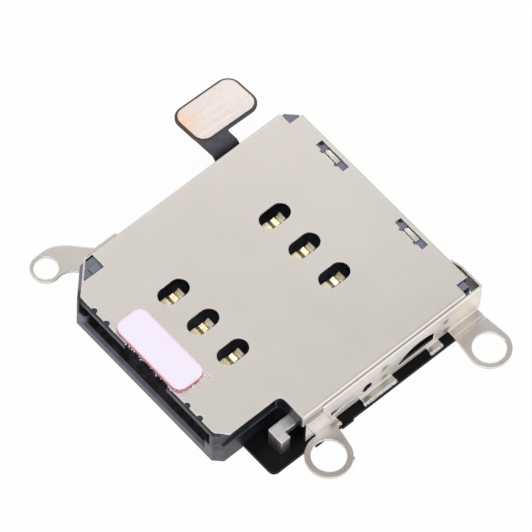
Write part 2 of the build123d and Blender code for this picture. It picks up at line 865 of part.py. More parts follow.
with BuildPart() as connector_housing:
    with BuildSketch(head.offset(-flex_t / 2 - plug_h)):
        Rectangle(plug_w, plug_l)
    extrude(amount=plug_h)
    with BuildSketch(head.offset(-flex_t / 2 - plug_h)):
        Rectangle(plug_w - 2 * plug_wall, plug_l - 2 * plug_end)
        Rectangle(island_w, plug_l - 4 * plug_end, mode=Mode.SUBTRACT)
    extrude(amount=plug_h - plug_roof, mode=Mode.SUBTRACT)
    for metal in (*pin_parts, *nail_parts):
        add(metal.part, mode=Mode.SUBTRACT)
save(connector_housing, "connector_housing")
for i, pin in enumerate(pin_parts):
    save(pin, f"connector_pin_{i + 1}")
for i, nail in enumerate(nail_parts):
    save(nail, f"connector_nail_{i + 1}")

# Adhesive pad on the cover, and the liner that still covers it
with BuildPart() as adhesive_pad:
    with BuildSketch(Plane.XY.offset(reader_h)):
        with Locations((tape_x, tape_y)):
            RectangleRounded(tape_w, tape_d, tape_r)
    extrude(amount=tape_t)
save(adhesive_pad, "adhesive_pad")

with BuildPart() as release_liner:
    with BuildSketch(Plane.XY.offset(reader_h + tape_t)):
        with Locations((tape_x - liner_shift, tape_y + liner_shift)):
            RectangleRounded(tape_w, tape_d, tape_r)
    extrude(amount=liner_t)
save(release_liner, "release_liner")
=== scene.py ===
import bpy
import random
from mathutils import Matrix, Vector


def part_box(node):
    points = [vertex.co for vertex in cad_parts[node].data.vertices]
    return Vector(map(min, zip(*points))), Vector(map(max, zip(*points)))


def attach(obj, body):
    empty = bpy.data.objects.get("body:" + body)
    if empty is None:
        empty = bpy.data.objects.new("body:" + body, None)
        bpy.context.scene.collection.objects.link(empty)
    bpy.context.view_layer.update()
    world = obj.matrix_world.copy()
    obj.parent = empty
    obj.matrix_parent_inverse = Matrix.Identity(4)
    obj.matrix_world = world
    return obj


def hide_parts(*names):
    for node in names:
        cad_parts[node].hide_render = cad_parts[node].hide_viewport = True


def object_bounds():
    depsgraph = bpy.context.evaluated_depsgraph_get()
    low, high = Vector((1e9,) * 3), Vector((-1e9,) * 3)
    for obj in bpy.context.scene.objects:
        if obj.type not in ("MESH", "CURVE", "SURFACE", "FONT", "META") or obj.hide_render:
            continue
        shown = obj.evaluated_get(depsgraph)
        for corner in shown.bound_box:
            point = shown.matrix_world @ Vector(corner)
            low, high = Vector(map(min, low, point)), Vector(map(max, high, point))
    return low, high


# The dressed scene of a card reader on its flex circuit. Lengths are in metres, and mm is one
# millimetre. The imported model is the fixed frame, and each section below finishes some pieces of it.
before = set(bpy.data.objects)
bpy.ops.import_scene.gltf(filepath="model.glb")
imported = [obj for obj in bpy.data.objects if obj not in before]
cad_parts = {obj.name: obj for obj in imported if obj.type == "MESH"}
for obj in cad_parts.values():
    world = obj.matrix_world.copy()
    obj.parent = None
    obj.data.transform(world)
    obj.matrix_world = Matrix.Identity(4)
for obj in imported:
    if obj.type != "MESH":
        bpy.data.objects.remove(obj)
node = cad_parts
cad_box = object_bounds()
mm = 0.001

# Camera: a long lens far above the front right corner, as a product photographer would use.
# The view axis meets the cover's top at look_at, and right and up are the picture's own.
look_at = Vector((-0.41, 1.265, 2.886)) * mm
to_camera = Vector((0.3541, -0.3466, 0.8686)).normalized()
picture_up = Vector((-0.6616, 0.5636, 0.4946))
camera_distance = 400 * mm
focal_mm = 478.86
lens = bpy.data.cameras.new("camera")
lens.lens = focal_mm
lens.sensor_width = 36
lens.clip_start = 10 * mm
lens.clip_end = 10
camera = bpy.data.objects.new("camera", lens)
bpy.context.scene.collection.objects.link(camera)
back = to_camera
right = picture_up.cross(back).normalized()
up = back.cross(right)
camera.matrix_world = Matrix((
    (right.x, up.x, back.x, look_at.x + back.x * camera_distance),
    (right.y, up.y, back.y, look_at.y + back.y * camera_distance),
    (right.z, up.z, back.z, look_at.z + back.z * camera_distance),
    (0, 0, 0, 1),
))
bpy.context.scene.camera = camera
bpy.context.scene.view_settings.view_transform = "Standard"


def linear(hex_colour):
    """An sRGB hex colour as the linear RGBA that a shader takes."""
    channels = [int(hex_colour[i:i + 2], 16) / 255 for i in (1, 3, 5)]
    return [c / 12.92 if c <= 0.04045 else ((c + 0.055) / 1.055) ** 2.4 for c in channels] + [1]


def add_node(material, kind, settings=None, **links):
    """Adds a shader node, with its settings, and its inputs as values or as (node, output)."""
    made = material.node_tree.nodes.new(kind)
    for name, value in (settings or {}).items():
        setattr(made, name, value)
    for name, value in links.items():
        socket = made.inputs[int(name[1:])] if name[0] == "i" and name[1:].isdigit() else made.inputs[name]
        if isinstance(value, tuple) and hasattr(value[0], "outputs"):
            material.node_tree.links.new(value[0].outputs[value[1]], socket)
        else:
            socket.default_value = value
    return made


def new_material(name):
    """An empty node material, with its output node, ready for a shader."""
    material = bpy.data.materials.new(name)
    material.use_nodes = True
    material.node_tree.nodes.clear()
    return material


def surface(material, shader):
    """Links a finished shader to the material's output."""
    end = material.node_tree.nodes.new("ShaderNodeOutputMaterial")
    material.node_tree.links.new(shader.outputs[0], end.inputs["Surface"])


def ramp(material, source, stops, socket=0):
    """A colour ramp with its stops, as (place, colour) pairs."""
    made = add_node(material, "ShaderNodeValToRGB", i0=(source, socket))
    bar = made.color_ramp
    while len(bar.elements) < len(stops):
        bar.elements.new(0.5)
    for element, (place, colour) in zip(bar.elements, stops):
        element.position = place
        element.color = colour
    return made


def paint(name, material):
    """Gives a CAD node its finish."""
    piece = node[name]
    piece.data.materials.clear()
    piece.data.materials.append(material)


# Studio: a white sweep under the reader and a pale tent round it. The tent is brightest near the
# floor, which the upright sheet mirrors, and darker overhead, which the flat ears mirror.
world = bpy.data.worlds.new("studio")
bpy.context.scene.world = world
world.use_nodes = True
world.node_tree.nodes.clear()
sky_path = add_node(world, "ShaderNodeLightPath")
sky_place = add_node(world, "ShaderNodeTexCoord")
sky_split = add_node(world, "ShaderNodeSeparateXYZ", i0=(sky_place, "Generated"))
sky_tone = ramp(world, sky_split, [
    (0.0, [0.94, 0.94, 0.95, 1]), (0.4, [0.74, 0.74, 0.75, 1]), (0.78, [0.40, 0.40, 0.41, 1]),
    (1.0, [0.46, 0.46, 0.47, 1]),
], "Z")
sky_glow = add_node(world, "ShaderNodeBackground", Color=(sky_tone, 0), Strength=1.0)
sky_white = add_node(world, "ShaderNodeBackground", Color=[1, 1, 1, 1], Strength=1.0)
sky_mix = add_node(
    world, "ShaderNodeMixShader", i0=(sky_path, "Is Camera Ray"), i1=(sky_glow, 0), i2=(sky_white, 0)
)
sky_end = world.node_tree.nodes.new("ShaderNodeOutputWorld")
world.node_tree.links.new(sky_mix.outputs[0], sky_end.inputs["Surface"])


def soft_box(name, place, size, power):
    """A square lamp at a place, turned to shine on the reader. Lengths are in metres."""
    lamp = bpy.data.lights.new(name, "AREA")
    lamp.size = size
    lamp.energy = power
    holder = bpy.data.objects.new(name, lamp)
    holder.location = place
    holder.rotation_euler = (-Vector(place)).to_track_quat("-Z", "Y").to_euler()
    bpy.context.scene.collection.objects.link(holder)


# The key is there for the cover's back half, the crest box for the bright line on each contact,
# the top box for general light, and the side box, large and dim, for the right-hand walls.
soft_box("key_box", (-0.102, 0.096, 0.125), 0.08, 0.037)
soft_box("crest_box", (-0.090, -0.033, 0.230), 0.055, 0.052)
soft_box("top_box", (0.09, -0.09, 0.26), 0.14, 0.19)
soft_box("side_box", (0.30, 0.06, 0.16), 0.40, 0.34)

floor_size = 3.0
bpy.ops.mesh.primitive_plane_add(size=floor_size, location=(0, 0, cad_box[0][2] - 0.02 * mm))
floor = bpy.context.object
floor.name = "studio_floor"
floor_paper = new_material("white_sweep_paper")
floor_path = add_node(floor_paper, "ShaderNodeLightPath")
floor_matt = add_node(floor_paper, "ShaderNodeBsdfDiffuse", Color=linear("#F4F4F4"))
floor_white = add_node(floor_paper, "ShaderNodeEmission", Color=[1, 1, 1, 1], Strength=1.0)
floor_seen = add_node(
    floor_paper, "ShaderNodeMixShader", i0=0.96, i1=(floor_matt, 0), i2=(floor_white, 0)
)
floor_rays = add_node(
    floor_paper, "ShaderNodeMath", {"operation": "MAXIMUM"}, i0=(floor_path, "Is Camera Ray"),
    i1=(floor_path, "Is Glossy Ray")
)
floor_mix = add_node(
    floor_paper, "ShaderNodeMixShader", i0=(floor_rays, 0), i1=(floor_matt, 0), i2=(floor_seen, 0)
)
surface(floor_paper, floor_mix)
floor.data.materials.append(floor_paper)


def soft_edge(material, radius_mm, low, high):
    """A mask that is white along an outer edge, for the painted highlight that edges get."""
    true_side = add_node(material, "ShaderNodeNewGeometry")
    rounded = add_node(material, "ShaderNodeBevel", {"samples": 6}, Radius=radius_mm * mm)
    alike = add_node(
        material, "ShaderNodeVectorMath", {"operation": "DOT_PRODUCT"}, i0=(true_side, "Normal"),
        i1=(rounded, 0)
    )
    return ramp(material, alike, [(low, [1, 1, 1, 1]), (high, [0, 0, 0, 1])], "Value")


def paint_crease_shade(material, colour, socket, reach_mm, dark):
    """The colour, with painted shade darkening it in narrow gaps and inside corners."""
    open_part = add_node(material, "ShaderNodeAmbientOcclusion", {"samples": 8}, Distance=reach_mm * mm)
    closed = ramp(material, open_part, [(0.35, [1, 1, 1, 1]), (0.75, [0, 0, 0, 1])], "AO")
    return add_node(
        material, "ShaderNodeMix", {"data_type": "RGBA"}, i0=(closed, 0), i6=(colour, socket),
        i7=linear(dark)
    )


# Base housing and upper frame: dark slate liquid crystal polymer, glass filled and moulded. As in the
# photo, upward faces high on the part and back from its front edge get painted light, paler and bluer than
# the walls. The walls, the mouth and the pocket get painted shade near black. The front faces of the
# mouth's lower lip get painted light, the outer edges a painted highlight and narrow gaps painted shade.
# Each latch window has a small dark spot at its left end, painted shade of a pit.
# The first two colours are one plastic, painted lit and painted in shade.
slate_lit = "#787A8B"
slate_shade = "#111218"
slate_edge = "#848AA0"
slate_dark = "#0B0C10"
lit_z_mm = (1.9, 2.4)
lit_y_mm = (-7.9, -7.5)
lip_y_mm = (-7.2, -6.6)
lip_z_mm = (1.2, 1.5)
pit_shade_brown = "#1A1412"
pit_spots_mm = ((-4.47, 9.06), (2.25, 9.10))
pit_level_mm = 2.78
pit_mm = (0.14, 0.22)
grain_mm = 0.06
flow_mm = 0.5
slate = new_material("moulded_slate_lcp")
slate_place = add_node(slate, "ShaderNodeTexCoord")
slate_grain = add_node(
    slate, "ShaderNodeTexNoise", Vector=(slate_place, "Object"), Scale=1 / (grain_mm * mm), Detail=3.0
)
slate_flow = add_node(
    slate, "ShaderNodeTexNoise", Vector=(slate_place, "Object"), Scale=1 / (flow_mm * mm), Detail=4.0,
    Roughness=0.6
)
slate_side = add_node(slate, "ShaderNodeNewGeometry")
slate_split = add_node(slate, "ShaderNodeSeparateXYZ", i0=(slate_side, "Normal"))
slate_level = add_node(slate, "ShaderNodeSeparateXYZ", i0=(slate_place, "Object"))
slate_high = add_node(
    slate, "ShaderNodeMapRange", i0=(slate_level, 2), i1=lit_z_mm[0] * mm, i2=lit_z_mm[1] * mm, i3=0.12,
    i4=1.0
)
slate_back = add_node(
    slate, "ShaderNodeMapRange", i0=(slate_level, 1), i1=lit_y_mm[0] * mm, i2=lit_y_mm[1] * mm, i3=0.1,
    i4=1.0
)
slate_top = add_node(
    slate, "ShaderNodeMath", {"operation": "MULTIPLY"}, i0=(slate_high, 0), i1=(slate_back, 0)
)
# Upward faces high on the part and back from its front edge get painted light.
slate_top_painted_light = add_node(
    slate, "ShaderNodeMath", {"operation": "MULTIPLY"}, i0=(slate_split, 2), i1=(slate_top, 0)
)
# Front faces of the mouth's lower lip get painted light.
slate_lip = add_node(
    slate, "ShaderNodeMapRange", i0=(slate_level, 1), i1=lip_y_mm[0] * mm, i2=lip_y_mm[1] * mm, i3=-1.0,
    i4=0.0
)
slate_low = add_node(
    slate, "ShaderNodeMapRange", i0=(slate_level, 2), i1=lip_z_mm[0] * mm, i2=lip_z_mm[1] * mm, i3=0.42,
    i4=0.12
)
slate_lip_band = add_node(
    slate, "ShaderNodeMath", {"operation": "MULTIPLY"}, i0=(slate_lip, 0), i1=(slate_low, 0)
)
slate_lip_painted_light = add_node(
    slate, "ShaderNodeMath", {"operation": "MULTIPLY"}, i0=(slate_split, 1), i1=(slate_lip_band, 0)
)
slate_pale = add_node(
    slate, "ShaderNodeMath", {"operation": "MAXIMUM"}, i0=(slate_top_painted_light, 0), i1=(slate_lip_painted_light, 0)
)
slate_sum = add_node(
    slate, "ShaderNodeMath", {"operation": "MULTIPLY_ADD"}, i0=(slate_flow, 0), i1=0.5,
    i2=(slate_pale, 0)
)
slate_colour = ramp(slate, slate_sum, [(0.25, linear(slate_shade)), (1.0, linear(slate_lit))])
# A painted highlight along the outer edges.
slate_rim_highlight = soft_edge(slate, radius_mm=0.04, low=0.80, high=0.97)
slate_mix = add_node(
    slate, "ShaderNodeMix", {"data_type": "RGBA"}, i0=(slate_rim_highlight, 0), i6=(slate_colour, 0),
    i7=linear(slate_edge)
)
# A dark spot painted for the shade of a small pit at each latch window's left end.
for x, y in pit_spots_mm:
    slate_far = add_node(
        slate, "ShaderNodeVectorMath", {"operation": "DISTANCE"}, i0=(slate_place, "Object"),
        i1=(x * mm, y * mm, pit_level_mm * mm)
    )
    slate_pit_shade = add_node(
        slate, "ShaderNodeMapRange", i0=(slate_far, "Value"), i1=pit_mm[0] * mm, i2=pit_mm[1] * mm,
        i3=1.0, i4=0.0
    )
    slate_mix = add_node(
        slate, "ShaderNodeMix", {"data_type": "RGBA"}, i0=(slate_pit_shade, 0), i6=(slate_mix, 2),
        i7=linear(pit_shade_brown)
    )
# Painted shade in narrow gaps and inside corners.
slate_crease_shade = paint_crease_shade(slate, slate_mix, 2, reach_mm=0.12, dark=slate_dark)
slate_round = add_node(slate, "ShaderNodeBevel", {"samples": 6}, Radius=0.05 * mm)
slate_bump = add_node(
    slate, "ShaderNodeBump", Strength=0.3, Distance=0.01 * mm, Height=(slate_grain, 0),
    Normal=(slate_round, 0)
)
slate_shader = add_node(
    slate, "ShaderNodeBsdfPrincipled", **{"Base Color": (slate_crease_shade, 2), "Normal": (slate_bump, 0)},
    **{"Specular IOR Level": 0.35}, Roughness=0.42, IOR=1.6
)
surface(slate, slate_shader)
for name in ("base_housing", "upper_frame"):
    paint(name, slate)

# Contact springs, detect switch and connector metal: phosphor bronze strip, flashed with gold over nickel.
# Thin gold is a pale cream yellow, deeper in patches, with fine rolling lines and a painted highlight
# along its edges.
gold_pale = "#FFF6DA"
gold_deep = "#E8D5A0"
gold_shine = "#FFFAE6"
roll_mm = 0.03
gold = new_material("gold_flashed_bronze")
gold_place = add_node(gold, "ShaderNodeTexCoord")
gold_lines = add_node(
    gold, "ShaderNodeMapping", Vector=(gold_place, "Object"),
    Scale=(1 / (roll_mm * mm), 1 / (0.6 * mm), 1)
)
gold_roll = add_node(gold, "ShaderNodeTexNoise", Vector=(gold_lines, 0), Scale=1.0, Detail=2.0)
gold_patch = add_node(
    gold, "ShaderNodeTexNoise", Vector=(gold_place, "Object"), Scale=1 / (0.5 * mm), Detail=2.0
)
gold_colour = ramp(gold, gold_patch, [(0.35, linear(gold_deep)), (0.6, linear(gold_pale))])
# A painted highlight along the edges.
gold_rim = soft_edge(gold, radius_mm=0.03, low=0.85, high=0.98)
gold_mix = add_node(
    gold, "ShaderNodeMix", {"data_type": "RGBA"}, i0=(gold_rim, 0), i6=(gold_colour, 0),
    i7=linear(gold_shine)
)
gold_round = add_node(gold, "ShaderNodeBevel", {"samples": 4}, Radius=0.02 * mm)
gold_bump = add_node(
    gold, "ShaderNodeBump", Strength=0.15, Distance=0.005 * mm, Height=(gold_roll, 0),
    Normal=(gold_round, 0)
)
gold_shader = add_node(
    gold, "ShaderNodeBsdfPrincipled", **{"Base Color": (gold_mix, 2), "Normal": (gold_bump, 0)},
    Metallic=1.0, Roughness=0.34
)
surface(gold, gold_shader)
for name in node:
    if name.startswith(("contact_", "detect_", "connector_pin", "connector_nail")):
        paint(name, gold)


def rolled_steel(name, pale, deep, rough, line_mm, across, stains_and_painted_light=(), matt=0.0):
    """A stamped sheet's finish: rolling lines across one axis, satin specks, a painted highlight on its
    edges and painted shade in its creases.

    Each spot is (x, y, z, reach, colour) in millimetres; some are real marks and some are painted light or
    painted shade. matt is how far the walls that face right scatter light instead of mirroring it. It is
    there for the look alone, to come near the photo's tone."""
    cloud_mm = 5.0
    speck_mm = 0.05
    stretch_mm = 4.0
    edge_mm = 0.08
    sheet = new_material(name)
    place = add_node(sheet, "ShaderNodeTexCoord")
    along = [1 / (stretch_mm * mm)] * 3
    along[across] = 1 / (line_mm * mm)
    stretch = add_node(sheet, "ShaderNodeMapping", Vector=(place, "Object"), Scale=along)
    lines = add_node(sheet, "ShaderNodeTexNoise", Vector=(stretch, 0), Scale=1.0, Detail=3.0)
    clouds = add_node(
        sheet, "ShaderNodeTexNoise", Vector=(place, "Object"), Scale=1 / (cloud_mm * mm), Detail=5.0
    )
    specks = add_node(
        sheet, "ShaderNodeTexNoise", Vector=(place, "Object"), Scale=1 / (speck_mm * mm), Detail=2.0
    )
    cloudy = add_node(
        sheet, "ShaderNodeMath", {"operation": "MULTIPLY_ADD"}, i0=(clouds, 0), i1=0.3, i2=(specks, 0)
    )
    tint = ramp(sheet, cloudy, [(0.45, linear(deep)), (0.85, linear(pale))])
    tint_socket = 0
    for x, y, z, reach, colour in stains_and_painted_light:
        far = add_node(
            sheet, "ShaderNodeVectorMath", {"operation": "DISTANCE"}, i0=(place, "Object"),
            i1=(x * mm, y * mm, z * mm)
        )
        ragged = add_node(
            sheet, "ShaderNodeMath", {"operation": "MULTIPLY_ADD"}, i0=(specks, 0), i1=0.5 * reach * mm,
            i2=(far, "Value")
        )
        near = add_node(
            sheet, "ShaderNodeMapRange", i0=(ragged, 0), i1=0.5 * reach * mm, i2=1.25 * reach * mm,
            i3=0.85, i4=0.0
        )
        tint = add_node(
            sheet, "ShaderNodeMix", {"data_type": "RGBA"}, i0=(near, 0), i6=(tint, tint_socket),
            i7=linear(colour)
        )
        tint_socket = 2
    # A painted highlight along the edges.
    shine = soft_edge(sheet, radius_mm=edge_mm, low=0.80, high=0.98)
    bright = add_node(
        sheet, "ShaderNodeMix", {"data_type": "RGBA"}, i0=(shine, 0), i6=(tint, tint_socket),
        i7=linear("#FFFDFA")
    )
    # Painted shade in narrow gaps and inside corners.
    bright = paint_crease_shade(sheet, bright, 2, reach_mm=0.07, dark="#2E2925")
    side = add_node(sheet, "ShaderNodeNewGeometry")
    side_split = add_node(sheet, "ShaderNodeSeparateXYZ", i0=(side, "Normal"))
    metal = add_node(
        sheet, "ShaderNodeMapRange", i0=(side_split, 0), i1=0.4, i2=0.9, i3=1.0, i4=1.0 - matt
    )
    gloss = add_node(
        sheet, "ShaderNodeMapRange", i0=(lines, 0), i1=0.3, i2=0.7, i3=rough - 0.05, i4=rough + 0.06
    )
    relief = add_node(sheet, "ShaderNodeMath", {"operation": "ADD"}, i0=(lines, 0), i1=(specks, 0))
    rounded = add_node(sheet, "ShaderNodeBevel", {"samples": 6}, Radius=edge_mm * mm)
    bump = add_node(
        sheet, "ShaderNodeBump", Strength=0.5, Distance=0.004 * mm, Height=(relief, 0),
        Normal=(rounded, 0)
    )
    shader = add_node(
        sheet, "ShaderNodeBsdfPrincipled", **{"Base Color": (bright, 2), "Normal": (bump, 0)},
        Metallic=(metal, 0) if matt else 1.0, Roughness=(gloss, 0)
    )
    surface(sheet, shader)
    return sheet


# Cover: stamped and folded nickel silver, rolled across the mouth. It is a warm satin grey with fine
# lines, a painted highlight along its cut edges and painted shade in its creases.
cover_steel = rolled_steel(
    "satin_nickel_silver", "#E8E2DB", "#D4CEC7", rough=0.42, line_mm=0.05, across=1
)
paint("cover_shield", cover_steel)

# Brackets: stamped stainless sheet, spot welded to the cover's flange, brighter and smoother than the
# cover. There are grey smudges at the welds. The two brown spots by the rear ear are painted shade beside
# the step where the bracket stands out. The paler tint at the wall's two ends is painted light, and the
# duller tint on the front ear is painted shade; these three follow the photo's tones.
weld_marks_and_painted_light = (
    # Rows: painted light at the wall's two ends, grey weld smudges, painted shade by the rear ear's step,
    # painted shade on the front ear.
    (8.50, 8.40, 1.60, 1.40, "#FFF2DE"), (8.50, -2.60, 1.10, 1.30, "#FFFCF8"),
    (8.50, 2.40, 1.80, 0.42, "#766E69"), (8.50, 2.45, 0.80, 0.42, "#7C746F"),
    (8.50, 7.02, 1.82, 0.28, "#6A5A48"), (8.50, 7.12, 0.80, 0.34, "#7A6040"),
    (10.15, -3.20, 0.33, 1.60, "#ACA49E"),
)
bracket_steel = rolled_steel(
    "stamped_stainless", "#E6E0DA", "#D6CFC8", rough=0.28, line_mm=0.05, across=2, stains_and_painted_light=weld_marks_and_painted_light,
    matt=0.75
)
for name in ("side_bracket", "left_bracket"):
    paint(name, bracket_steel)

# Ejector: rod, lever and pin, pressed from bright spring steel, with slightly finer lines.
ejector_steel = rolled_steel(
    "pressed_spring_steel", "#FBF8F5", "#DAD6D3", rough=0.30, line_mm=0.04, across=0
)
for name in ("eject_rod", "eject_lever", "lever_pin"):
    paint(name, ejector_steel)

# Board: the black stiffener laminate under the reader, matt with a fine mottle for its weave,
# and darker than the moulding above it.
weave_mm = 0.08
board_black = new_material("black_stiffener_laminate")
board_place = add_node(board_black, "ShaderNodeTexCoord")
board_weave = add_node(
    board_black, "ShaderNodeTexNoise", Vector=(board_place, "Object"), Scale=1 / (weave_mm * mm),
    Detail=2.0
)
board_colour = ramp(board_black, board_weave, [(0.4, linear("#060707")), (0.6, linear("#0E0F10"))])
board_bump = add_node(
    board_black, "ShaderNodeBump", Strength=0.3, Distance=0.01 * mm, Height=(board_weave, 0)
)
board_shader = add_node(
    board_black, "ShaderNodeBsdfPrincipled",
    **{"Base Color": (board_colour, 0), "Normal": (board_bump, 0)},
    **{"Specular IOR Level": 0.06}, Roughness=0.7
)
surface(board_black, board_shader)
paint("board_stiffener", board_black)

# Flex circuit: polyimide film with a black coverlay, glossier than the board, and the copper
# tracks inside press faint ridges into it along the neck. Away from the board the film looks
# greyer, and round the connector plate it shows brown.
track_mm = 2.2
neck_grey_mm = (-7.7, -8.8)
head_brown_mm = (-9.3, -9.5)
flex_film = new_material("black_coverlay_film")
flex_place = add_node(flex_film, "ShaderNodeTexCoord")
flex_track = add_node(
    flex_film, "ShaderNodeTexWave", {"bands_direction": "Y"}, Vector=(flex_place, "Object"),
    Scale=1 / (track_mm * mm), Distortion=0.4
)
flex_mottle = add_node(
    flex_film, "ShaderNodeTexNoise", Vector=(flex_place, "Object"), Scale=1 / (0.5 * mm), Detail=3.0
)
flex_split = add_node(flex_film, "ShaderNodeSeparateXYZ", i0=(flex_place, "Object"))
flex_black = ramp(flex_film, flex_mottle, [(0.3, linear("#0B0B0C")), (0.7, linear("#131314"))])
flex_grey = ramp(flex_film, flex_mottle, [(0.3, linear("#4A4A50")), (0.7, linear("#5A5A61"))])
flex_where = add_node(
    flex_film, "ShaderNodeMapRange", i0=(flex_split, 0), i1=neck_grey_mm[0] * mm,
    i2=neck_grey_mm[1] * mm, i3=0.0, i4=1.0
)
flex_head = add_node(
    flex_film, "ShaderNodeMapRange", i0=(flex_split, 0), i1=head_brown_mm[0] * mm,
    i2=head_brown_mm[1] * mm, i3=0.0, i4=1.0
)
flex_colour = add_node(
    flex_film, "ShaderNodeMix", {"data_type": "RGBA"}, i0=(flex_where, 0), i6=(flex_black, 0),
    i7=(flex_grey, 0)
)
flex_colour = add_node(
    flex_film, "ShaderNodeMix", {"data_type": "RGBA"}, i0=(flex_head, 0), i6=(flex_colour, 2),
    i7=linear("#5E5049")
)
flex_bump = add_node(
    flex_film, "ShaderNodeBump", Strength=0.25, Distance=0.02 * mm, Height=(flex_track, 0)
)
flex_shader = add_node(
    flex_film, "ShaderNodeBsdfPrincipled", **{"Base Color": (flex_colour, 2), "Normal": (flex_bump, 0)},
    **{"Specular IOR Level": 0.1}, Roughness=0.5, IOR=1.6
)
surface(flex_film, flex_shader)
paint("flex_circuit", flex_film)

# Connector head: a pale stainless plate bonded on the flex, and under it a moulded receptacle
# of cream connector plastic, a little cloudy. One end of the plate looks peach in the photo,
# which may be a reflection.
plate_warmth = (-11.2, 4.6, 1.3, 1.2, "#E2C5AD")
plate_steel = rolled_steel(
    "bright_plate_steel", "#DED4CE", "#D4CAC4", rough=0.42, line_mm=0.03, across=0,
    stains_and_painted_light=(plate_warmth,)
)
paint("connector_stiffener", plate_steel)
cream = new_material("cream_connector_plastic")
cream_place = add_node(cream, "ShaderNodeTexCoord")
cream_cloud = add_node(
    cream, "ShaderNodeTexNoise", Vector=(cream_place, "Object"), Scale=1 / (0.4 * mm)
)
cream_colour = ramp(cream, cream_cloud, [(0.3, linear("#E8DDC9")), (0.7, linear("#F3E9D8"))])
cream_bump = add_node(
    cream, "ShaderNodeBump", Strength=0.2, Distance=0.01 * mm, Height=(cream_cloud, 0)
)
cream_shader = add_node(
    cream, "ShaderNodeBsdfPrincipled", **{"Base Color": (cream_colour, 0), "Normal": (cream_bump, 0)},
    Roughness=0.5
)
surface(cream, cream_shader)
paint("connector_housing", cream)


def deselect():
    """Leaves nothing selected, so that the next primitive is worked on alone."""
    if bpy.context.object and bpy.context.object.mode != "OBJECT":
        bpy.ops.object.mode_set(mode="OBJECT")
    bpy.ops.object.select_all(action="DESELECT")


def cut_tape(name, low, high, corner_mm, cut_mm, edge_mm):
    """A flat strip with round corners, cut into a fine grid so that its edge can be ragged."""
    deselect()
    middle = [(a + b) / 2 for a, b in zip(low, high)]
    bpy.ops.mesh.primitive_cube_add(size=1, location=middle, scale=[b - a for a, b in zip(low, high)])
    strip = bpy.context.object
    strip.name = name
    bpy.ops.object.transform_apply(location=True, rotation=True, scale=True)
    bpy.ops.object.mode_set(mode="EDIT")
    bpy.ops.mesh.select_mode(type="EDGE")
    bpy.ops.mesh.select_all(action="DESELECT")
    bpy.ops.object.mode_set(mode="OBJECT")
    for edge in strip.data.edges:
        a, b = (strip.data.vertices[i].co for i in edge.vertices)
        edge.select = abs(a.z - b.z) > 0.5 * (high[2] - low[2])
    bpy.ops.object.mode_set(mode="EDIT")
    bpy.ops.mesh.bevel(offset=corner_mm * mm, segments=10)
    for axis in (0, 1):
        steps = int((high[axis] - low[axis]) / (cut_mm * mm))
        for i in range(1, steps):
            spot = list(middle)
            spot[axis] = low[axis] + (high[axis] - low[axis]) * i / steps
            bpy.ops.mesh.select_all(action="SELECT")
            bpy.ops.mesh.bisect(plane_co=spot, plane_no=[float(axis == 0), float(axis == 1), 0])
    bpy.ops.mesh.select_all(action="SELECT")
    bpy.ops.mesh.remove_doubles(threshold=0.0005 * mm)
    bpy.ops.mesh.normals_make_consistent(inside=False)
    bpy.ops.object.mode_set(mode="OBJECT")
    rim = strip.modifiers.new("soft_rim", "BEVEL")
    rim.width = edge_mm * mm
    rim.segments = 3
    rim.angle_limit = 0.9
    bpy.ops.object.modifier_apply(modifier=rim.name)
    return strip


def roughen(piece, grain_mm, strength_mm):
    """Pushes a piece's surface in and out, as a torn or frozen edge is."""
    cloud = bpy.data.textures.new(piece.name + "_grain", "CLOUDS")
    cloud.noise_scale = grain_mm * mm
    push = piece.modifiers.new("grain", "DISPLACE")
    push.texture = cloud
    push.texture_coords = "GLOBAL"
    push.strength = strength_mm * mm
    push.mid_level = 0.5
    bpy.context.view_layer.objects.active = piece
    bpy.ops.object.modifier_apply(modifier=push.name)


# Adhesive pad: red acrylic foam tape on the cover, with a slightly ragged edge. It shows as a
# deep pink line round the liner, a little glossy.
pad_low, pad_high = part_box("adhesive_pad")
pad = cut_tape("adhesive_tape", pad_low, pad_high, corner_mm=0.60, cut_mm=0.12, edge_mm=0.02)
roughen(pad, grain_mm=0.12, strength_mm=0.04)
tape_red = new_material("red_acrylic_foam_tape")
tape_place = add_node(tape_red, "ShaderNodeTexCoord")
tape_cells = add_node(
    tape_red, "ShaderNodeTexNoise", Vector=(tape_place, "Object"), Scale=1 / (0.10 * mm), Detail=3.0
)
tape_colour = ramp(tape_red, tape_cells, [(0.35, linear("#B0586E")), (0.65, linear("#D99AA8"))])
tape_bump = add_node(
    tape_red, "ShaderNodeBump", Strength=0.5, Distance=0.02 * mm, Height=(tape_cells, 0)
)
tape_shader = add_node(
    tape_red, "ShaderNodeBsdfPrincipled", **{"Base Color": (tape_colour, 0), "Normal": (tape_bump, 0)},
    Roughness=0.4
)
surface(tape_red, tape_shader)
pad.data.materials.append(tape_red)
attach(pad, "reader")
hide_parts("adhesive_pad")

# Release liner: coated paper, lilac white, cut with the tape. The red tape shows through near
# its edge as a pink rim, and the coating leaves it almost matt. It is cut a little low, so that
# its grain stays under the top of the CAD's liner.
grain_room_mm = 0.01
liner_low, liner_high = (list(corner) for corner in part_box("release_liner"))
liner_high[2] -= grain_room_mm * mm
liner = cut_tape("paper_liner", liner_low, liner_high, corner_mm=0.62, cut_mm=0.12, edge_mm=0.015)
roughen(liner, grain_mm=0.25, strength_mm=0.02)
liner_mid = [(a + b) / 2 for a, b in zip(liner_low, liner_high)]
liner_half = [(b - a) / 2 for a, b in zip(liner_low, liner_high)]
liner_paper = new_material("coated_release_paper")
paper_place = add_node(liner_paper, "ShaderNodeTexCoord")
paper_from = add_node(
    liner_paper, "ShaderNodeVectorMath", {"operation": "SUBTRACT"}, i0=(paper_place, "Object"),
    i1=liner_mid
)
paper_far = add_node(liner_paper, "ShaderNodeVectorMath", {"operation": "ABSOLUTE"}, i0=(paper_from, 0))
